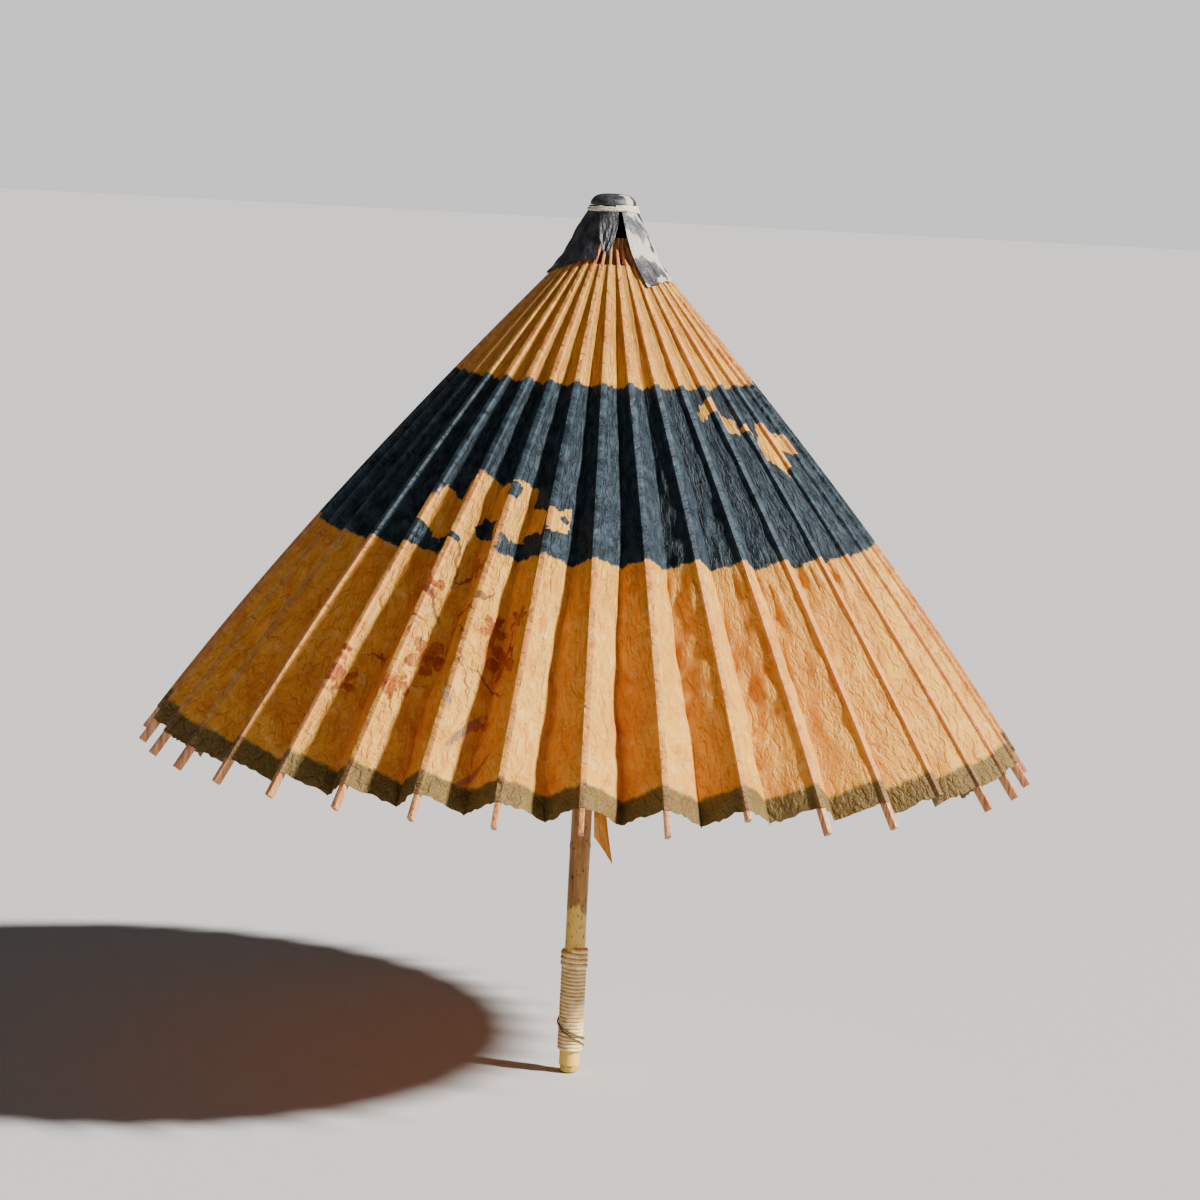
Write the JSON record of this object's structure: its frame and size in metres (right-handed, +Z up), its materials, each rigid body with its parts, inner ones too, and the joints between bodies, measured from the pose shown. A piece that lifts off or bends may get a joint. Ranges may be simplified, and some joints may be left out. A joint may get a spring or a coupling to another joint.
{
  "type": "oil paper umbrella",
  "caption": "Oil paper umbrella with bamboo ribs, stretchers and runner on a bamboo shaft, folding down from the cone at which its catch holds it.",
  "frame": {"origin": "centre of the flat lower end of the shaft", "axes": "+Z up the shaft to the crown, -Y towards the middle rib of the half first seen, rib 0 on -X"},
  "size_m": [0.7822, 0.7822, 0.776],
  "materials": {
    "bamboo_pole": "worn bamboo, satin",
    "plug_wood": "worn",
    "cane": "split cane, satin",
    "turned_wood": "oiled",
    "black_paper": "lacquered, crumpled",
    "twine": "matt, frayed",
    "oiled_paper": "oiled, satin",
    "bamboo_rib": "stained bamboo, satin",
    "bamboo_stretcher": "bare bamboo, satin"
  },
  "bodies": {
    "root": {"shaft": "bamboo_pole", "shaft_plug": "plug_wood", "grip_wrap": "cane", "crown_hub": "turned_wood", "crown_hood": "black_paper", "crown_binding": "twine", "crown_cap": "turned_wood", "canopy_paper": "oiled_paper", "catch_pin": "turned_wood"},
    "runner": {"runner": "turned_wood", "runner_binding": "twine"},
    "catch": {"catch": "turned_wood"},
    "rib_00": {"rib_00": "bamboo_rib"},
    "rib_01": {"rib_01": "bamboo_rib"},
    "rib_02": {"rib_02": "bamboo_rib"},
    "rib_03": {"rib_03": "bamboo_rib"},
    "rib_04": {"rib_04": "bamboo_rib"},
    "rib_05": {"rib_05": "bamboo_rib"},
    "rib_06": {"rib_06": "bamboo_rib"},
    "rib_07": {"rib_07": "bamboo_rib"},
    "rib_08": {"rib_08": "bamboo_rib"},
    "rib_09": {"rib_09": "bamboo_rib"},
    "rib_10": {"rib_10": "bamboo_rib"},
    "rib_11": {"rib_11": "bamboo_rib"},
    "rib_12": {"rib_12": "bamboo_rib"},
    "rib_13": {"rib_13": "bamboo_rib"},
    "rib_14": {"rib_14": "bamboo_rib"},
    "rib_15": {"rib_15": "bamboo_rib"},
    "rib_16": {"rib_16": "bamboo_rib"},
    "rib_17": {"rib_17": "bamboo_rib"},
    "rib_18": {"rib_18": "bamboo_rib"},
    "rib_19": {"rib_19": "bamboo_rib"},
    "rib_20": {"rib_20": "bamboo_rib"},
    "rib_21": {"rib_21": "bamboo_rib"},
    "rib_22": {"rib_22": "bamboo_rib"},
    "rib_23": {"rib_23": "bamboo_rib"},
    "rib_24": {"rib_24": "bamboo_rib"},
    "rib_25": {"rib_25": "bamboo_rib"},
    "rib_26": {"rib_26": "bamboo_rib"},
    "rib_27": {"rib_27": "bamboo_rib"},
    "rib_28": {"rib_28": "bamboo_rib"},
    "rib_29": {"rib_29": "bamboo_rib"},
    "rib_30": {"rib_30": "bamboo_rib"},
    "rib_31": {"rib_31": "bamboo_rib"},
    "rib_32": {"rib_32": "bamboo_rib"},
    "rib_33": {"rib_33": "bamboo_rib"},
    "rib_34": {"rib_34": "bamboo_rib"},
    "rib_35": {"rib_35": "bamboo_rib"},
    "stretcher_00": {"stretcher_00": "bamboo_stretcher"},
    "stretcher_03": {"stretcher_03": "bamboo_stretcher"},
    "stretcher_06": {"stretcher_06": "bamboo_stretcher"},
    "stretcher_09": {"stretcher_09": "bamboo_stretcher"},
    "stretcher_12": {"stretcher_12": "bamboo_stretcher"},
    "stretcher_15": {"stretcher_15": "bamboo_stretcher"},
    "stretcher_18": {"stretcher_18": "bamboo_stretcher"},
    "stretcher_21": {"stretcher_21": "bamboo_stretcher"},
    "stretcher_24": {"stretcher_24": "bamboo_stretcher"},
    "stretcher_27": {"stretcher_27": "bamboo_stretcher"},
    "stretcher_30": {"stretcher_30": "bamboo_stretcher"},
    "stretcher_33": {"stretcher_33": "bamboo_stretcher"}
  },
  "joints": [
    {"name": "runner_slide", "type": "slide", "parent": "root", "child": "runner", "axis": [0, 0, 1], "range_m": [-0.11325, 0], "deforming": ["canopy_paper"]},
    {"name": "catch_press", "type": "hinge", "parent": "root", "child": "catch", "pos_m": [0.0062, 0, 0.2745], "axis": [0, -1, 0], "range_deg": [0, 5], "stiffness_Nm_per_rad": 0.05},
    {"name": "rib_00_hinge", "type": "hinge", "parent": "root", "child": "rib_00", "pos_m": [-0.021, 0, 0.739], "axis": [0, 1, 0], "range_deg": [-36.01, 0]},
    {"name": "rib_01_hinge", "type": "hinge", "parent": "root", "child": "rib_01", "pos_m": [-0.02068, -0.00365, 0.739], "axis": [-0.1736, 0.9848, 0], "range_deg": [-36.01, 0]},
    {"name": "rib_02_hinge", "type": "hinge", "parent": "root", "child": "rib_02", "pos_m": [-0.01973, -0.00718, 0.739], "axis": [-0.342, 0.9397, 0], "range_deg": [-36.01, 0]},
    {"name": "rib_03_hinge", "type": "hinge", "parent": "root", "child": "rib_03", "pos_m": [-0.01819, -0.0105, 0.739], "axis": [-0.5, 0.866, 0], "range_deg": [-36.01, 0]},
    {"name": "rib_04_hinge", "type": "hinge", "parent": "root", "child": "rib_04", "pos_m": [-0.01609, -0.0135, 0.739], "axis": [-0.6428, 0.766, 0], "range_deg": [-36.01, 0]},
    {"name": "rib_05_hinge", "type": "hinge", "parent": "root", "child": "rib_05", "pos_m": [-0.0135, -0.01609, 0.739], "axis": [-0.766, 0.6428, 0], "range_deg": [-36.01, 0]},
    {"name": "rib_06_hinge", "type": "hinge", "parent": "root", "child": "rib_06", "pos_m": [-0.0105, -0.01819, 0.739], "axis": [-0.866, 0.5, 0], "range_deg": [-36.01, 0]},
    {"name": "rib_07_hinge", "type": "hinge", "parent": "root", "child": "rib_07", "pos_m": [-0.00718, -0.01973, 0.739], "axis": [-0.9397, 0.342, 0], "range_deg": [-36.01, 0]},
    {"name": "rib_08_hinge", "type": "hinge", "parent": "root", "child": "rib_08", "pos_m": [-0.00365, -0.02068, 0.739], "axis": [-0.9848, 0.1736, 0], "range_deg": [-36.01, 0]},
    {"name": "rib_09_hinge", "type": "hinge", "parent": "root", "child": "rib_09", "pos_m": [0, -0.021, 0.739], "axis": [-1, 0, 0], "range_deg": [-36.01, 0]},
    {"name": "rib_10_hinge", "type": "hinge", "parent": "root", "child": "rib_10", "pos_m": [0.00365, -0.02068, 0.739], "axis": [-0.9848, -0.1736, 0], "range_deg": [-36.01, 0]},
    {"name": "rib_11_hinge", "type": "hinge", "parent": "root", "child": "rib_11", "pos_m": [0.00718, -0.01973, 0.739], "axis": [-0.9397, -0.342, 0], "range_deg": [-36.01, 0]},
    {"name": "rib_12_hinge", "type": "hinge", "parent": "root", "child": "rib_12", "pos_m": [0.0105, -0.01819, 0.739], "axis": [-0.866, -0.5, 0], "range_deg": [-36.01, 0]},
    {"name": "rib_13_hinge", "type": "hinge", "parent": "root", "child": "rib_13", "pos_m": [0.0135, -0.01609, 0.739], "axis": [-0.766, -0.6428, 0], "range_deg": [-36.01, 0]},
    {"name": "rib_14_hinge", "type": "hinge", "parent": "root", "child": "rib_14", "pos_m": [0.01609, -0.0135, 0.739], "axis": [-0.6428, -0.766, 0], "range_deg": [-36.01, 0]},
    {"name": "rib_15_hinge", "type": "hinge", "parent": "root", "child": "rib_15", "pos_m": [0.01819, -0.0105, 0.739], "axis": [-0.5, -0.866, 0], "range_deg": [-36.01, 0]},
    {"name": "rib_16_hinge", "type": "hinge", "parent": "root", "child": "rib_16", "pos_m": [0.01973, -0.00718, 0.739], "axis": [-0.342, -0.9397, 0], "range_deg": [-36.01, 0]},
    {"name": "rib_17_hinge", "type": "hinge", "parent": "root", "child": "rib_17", "pos_m": [0.02068, -0.00365, 0.739], "axis": [-0.1736, -0.9848, 0], "range_deg": [-36.01, 0]},
    {"name": "rib_18_hinge", "type": "hinge", "parent": "root", "child": "rib_18", "pos_m": [0.021, 0, 0.739], "axis": [0, -1, 0], "range_deg": [-36.01, 0]},
    {"name": "rib_19_hinge", "type": "hinge", "parent": "root", "child": "rib_19", "pos_m": [0.02068, 0.00365, 0.739], "axis": [0.1736, -0.9848, 0], "range_deg": [-36.01, 0]},
    {"name": "rib_20_hinge", "type": "hinge", "parent": "root", "child": "rib_20", "pos_m": [0.01973, 0.00718, 0.739], "axis": [0.342, -0.9397, 0], "range_deg": [-36.01, 0]},
    {"name": "rib_21_hinge", "type": "hinge", "parent": "root", "child": "rib_21", "pos_m": [0.01819, 0.0105, 0.739], "axis": [0.5, -0.866, 0], "range_deg": [-36.01, 0]},
    {"name": "rib_22_hinge", "type": "hinge", "parent": "root", "child": "rib_22", "pos_m": [0.01609, 0.0135, 0.739], "axis": [0.6428, -0.766, 0], "range_deg": [-36.01, 0]},
    {"name": "rib_23_hinge", "type": "hinge", "parent": "root", "child": "rib_23", "pos_m": [0.0135, 0.01609, 0.739], "axis": [0.766, -0.6428, 0], "range_deg": [-36.01, 0]},
    {"name": "rib_24_hinge", "type": "hinge", "parent": "root", "child": "rib_24", "pos_m": [0.0105, 0.01819, 0.739], "axis": [0.866, -0.5, 0], "range_deg": [-36.01, 0]},
    {"name": "rib_25_hinge", "type": "hinge", "parent": "root", "child": "rib_25", "pos_m": [0.00718, 0.01973, 0.739], "axis": [0.9397, -0.342, 0], "range_deg": [-36.01, 0]},
    {"name": "rib_26_hinge", "type": "hinge", "parent": "root", "child": "rib_26", "pos_m": [0.00365, 0.02068, 0.739], "axis": [0.9848, -0.1736, 0], "range_deg": [-36.01, 0]},
    {"name": "rib_27_hinge", "type": "hinge", "parent": "root", "child": "rib_27", "pos_m": [0, 0.021, 0.739], "axis": [1, 0, 0], "range_deg": [-36.01, 0]},
    {"name": "rib_28_hinge", "type": "hinge", "parent": "root", "child": "rib_28", "pos_m": [-0.00365, 0.02068, 0.739], "axis": [0.9848, 0.1736, 0], "range_deg": [-36.01, 0]},
    {"name": "rib_29_hinge", "type": "hinge", "parent": "root", "child": "rib_29", "pos_m": [-0.00718, 0.01973, 0.739], "axis": [0.9397, 0.342, 0], "range_deg": [-36.01, 0]},
    {"name": "rib_30_hinge", "type": "hinge", "parent": "root", "child": "rib_30", "pos_m": [-0.0105, 0.01819, 0.739], "axis": [0.866, 0.5, 0], "range_deg": [-36.01, 0]},
    {"name": "rib_31_hinge", "type": "hinge", "parent": "root", "child": "rib_31", "pos_m": [-0.0135, 0.01609, 0.739], "axis": [0.766, 0.6428, 0], "range_deg": [-36.01, 0]},
    {"name": "rib_32_hinge", "type": "hinge", "parent": "root", "child": "rib_32", "pos_m": [-0.01609, 0.0135, 0.739], "axis": [0.6428, 0.766, 0], "range_deg": [-36.01, 0]},
    {"name": "rib_33_hinge", "type": "hinge", "parent": "root", "child": "rib_33", "pos_m": [-0.01819, 0.0105, 0.739], "axis": [0.5, 0.866, 0], "range_deg": [-36.01, 0]},
    {"name": "rib_34_hinge", "type": "hinge", "parent": "root", "child": "rib_34", "pos_m": [-0.01973, 0.00718, 0.739], "axis": [0.342, 0.9397, 0], "range_deg": [-36.01, 0]},
    {"name": "rib_35_hinge", "type": "hinge", "parent": "root", "child": "rib_35", "pos_m": [-0.02068, 0.00365, 0.739], "axis": [0.1736, 0.9848, 0], "range_deg": [-36.01, 0]},
    {"name": "stretcher_00_hinge", "type": "hinge", "parent": "rib_00", "child": "stretcher_00", "pos_m": [-0.17786, 0, 0.55273], "axis": [0, 1, 0], "range_deg": [0, 72.02]},
    {"name": "stretcher_03_hinge", "type": "hinge", "parent": "rib_03", "child": "stretcher_03", "pos_m": [-0.15403, -0.08893, 0.55273], "axis": [-0.5, 0.866, 0], "range_deg": [0, 72.02]},
    {"name": "stretcher_06_hinge", "type": "hinge", "parent": "rib_06", "child": "stretcher_06", "pos_m": [-0.08893, -0.15403, 0.55273], "axis": [-0.866, 0.5, 0], "range_deg": [0, 72.02]},
    {"name": "stretcher_09_hinge", "type": "hinge", "parent": "rib_09", "child": "stretcher_09", "pos_m": [0, -0.17786, 0.55273], "axis": [-1, 0, 0], "range_deg": [0, 72.02]},
    {"name": "stretcher_12_hinge", "type": "hinge", "parent": "rib_12", "child": "stretcher_12", "pos_m": [0.08893, -0.15403, 0.55273], "axis": [-0.866, -0.5, 0], "range_deg": [0, 72.02]},
    {"name": "stretcher_15_hinge", "type": "hinge", "parent": "rib_15", "child": "stretcher_15", "pos_m": [0.15403, -0.08893, 0.55273], "axis": [-0.5, -0.866, 0], "range_deg": [0, 72.02]},
    {"name": "stretcher_18_hinge", "type": "hinge", "parent": "rib_18", "child": "stretcher_18", "pos_m": [0.17786, 0, 0.55273], "axis": [0, -1, 0], "range_deg": [0, 72.02]},
    {"name": "stretcher_21_hinge", "type": "hinge", "parent": "rib_21", "child": "stretcher_21", "pos_m": [0.15403, 0.08893, 0.55273], "axis": [0.5, -0.866, 0], "range_deg": [0, 72.02]},
    {"name": "stretcher_24_hinge", "type": "hinge", "parent": "rib_24", "child": "stretcher_24", "pos_m": [0.08893, 0.15403, 0.55273], "axis": [0.866, -0.5, 0], "range_deg": [0, 72.02]},
    {"name": "stretcher_27_hinge", "type": "hinge", "parent": "rib_27", "child": "stretcher_27", "pos_m": [0, 0.17786, 0.55273], "axis": [1, 0, 0], "range_deg": [0, 72.02]},
    {"name": "stretcher_30_hinge", "type": "hinge", "parent": "rib_30", "child": "stretcher_30", "pos_m": [-0.08893, 0.15403, 0.55273], "axis": [0.866, 0.5, 0], "range_deg": [0, 72.02]},
    {"name": "stretcher_33_hinge", "type": "hinge", "parent": "rib_33", "child": "stretcher_33", "pos_m": [-0.15403, 0.08893, 0.55273], "axis": [0.5, 0.866, 0], "range_deg": [0, 72.02]}
  ],
  "couplings": [
    {"joint": "rib_00_hinge", "follows": "runner_slide", "rad_per_m": 5.5479},
    {"joint": "rib_01_hinge", "follows": "runner_slide", "rad_per_m": 5.5479},
    {"joint": "rib_02_hinge", "follows": "runner_slide", "rad_per_m": 5.5479},
    {"joint": "rib_03_hinge", "follows": "runner_slide", "rad_per_m": 5.5479},
    {"joint": "rib_04_hinge", "follows": "runner_slide", "rad_per_m": 5.5479},
    {"joint": "rib_05_hinge", "follows": "runner_slide", "rad_per_m": 5.5479},
    {"joint": "rib_06_hinge", "follows": "runner_slide", "rad_per_m": 5.5479},
    {"joint": "rib_07_hinge", "follows": "runner_slide", "rad_per_m": 5.5479},
    {"joint": "rib_08_hinge", "follows": "runner_slide", "rad_per_m": 5.5479},
    {"joint": "rib_09_hinge", "follows": "runner_slide", "rad_per_m": 5.5479},
    {"joint": "rib_10_hinge", "follows": "runner_slide", "rad_per_m": 5.5479},
    {"joint": "rib_11_hinge", "follows": "runner_slide", "rad_per_m": 5.5479},
    {"joint": "rib_12_hinge", "follows": "runner_slide", "rad_per_m": 5.5479},
    {"joint": "rib_13_hinge", "follows": "runner_slide", "rad_per_m": 5.5479},
    {"joint": "rib_14_hinge", "follows": "runner_slide", "rad_per_m": 5.5479},
    {"joint": "rib_15_hinge", "follows": "runner_slide", "rad_per_m": 5.5479},
    {"joint": "rib_16_hinge", "follows": "runner_slide", "rad_per_m": 5.5479},
    {"joint": "rib_17_hinge", "follows": "runner_slide", "rad_per_m": 5.5479},
    {"joint": "rib_18_hinge", "follows": "runner_slide", "rad_per_m": 5.5479},
    {"joint": "rib_19_hinge", "follows": "runner_slide", "rad_per_m": 5.5479},
    {"joint": "rib_20_hinge", "follows": "runner_slide", "rad_per_m": 5.5479},
    {"joint": "rib_21_hinge", "follows": "runner_slide", "rad_per_m": 5.5479},
    {"joint": "rib_22_hinge", "follows": "runner_slide", "rad_per_m": 5.5479},
    {"joint": "rib_23_hinge", "follows": "runner_slide", "rad_per_m": 5.5479},
    {"joint": "rib_24_hinge", "follows": "runner_slide", "rad_per_m": 5.5479},
    {"joint": "rib_25_hinge", "follows": "runner_slide", "rad_per_m": 5.5479},
    {"joint": "rib_26_hinge", "follows": "runner_slide", "rad_per_m": 5.5479},
    {"joint": "rib_27_hinge", "follows": "runner_slide", "rad_per_m": 5.5479},
    {"joint": "rib_28_hinge", "follows": "runner_slide", "rad_per_m": 5.5479},
    {"joint": "rib_29_hinge", "follows": "runner_slide", "rad_per_m": 5.5479},
    {"joint": "rib_30_hinge", "follows": "runner_slide", "rad_per_m": 5.5479},
    {"joint": "rib_31_hinge", "follows": "runner_slide", "rad_per_m": 5.5479},
    {"joint": "rib_32_hinge", "follows": "runner_slide", "rad_per_m": 5.5479},
    {"joint": "rib_33_hinge", "follows": "runner_slide", "rad_per_m": 5.5479},
    {"joint": "rib_34_hinge", "follows": "runner_slide", "rad_per_m": 5.5479},
    {"joint": "rib_35_hinge", "follows": "runner_slide", "rad_per_m": 5.5479},
    {"joint": "stretcher_00_hinge", "follows": "runner_slide", "rad_per_m": -11.096},
    {"joint": "stretcher_03_hinge", "follows": "runner_slide", "rad_per_m": -11.096},
    {"joint": "stretcher_06_hinge", "follows": "runner_slide", "rad_per_m": -11.096},
    {"joint": "stretcher_09_hinge", "follows": "runner_slide", "rad_per_m": -11.096},
    {"joint": "stretcher_12_hinge", "follows": "runner_slide", "rad_per_m": -11.096},
    {"joint": "stretcher_15_hinge", "follows": "runner_slide", "rad_per_m": -11.096},
    {"joint": "stretcher_18_hinge", "follows": "runner_slide", "rad_per_m": -11.096},
    {"joint": "stretcher_21_hinge", "follows": "runner_slide", "rad_per_m": -11.096},
    {"joint": "stretcher_24_hinge", "follows": "runner_slide", "rad_per_m": -11.096},
    {"joint": "stretcher_27_hinge", "follows": "runner_slide", "rad_per_m": -11.096},
    {"joint": "stretcher_30_hinge", "follows": "runner_slide", "rad_per_m": -11.096},
    {"joint": "stretcher_33_hinge", "follows": "runner_slide", "rad_per_m": -11.096}
  ]
}
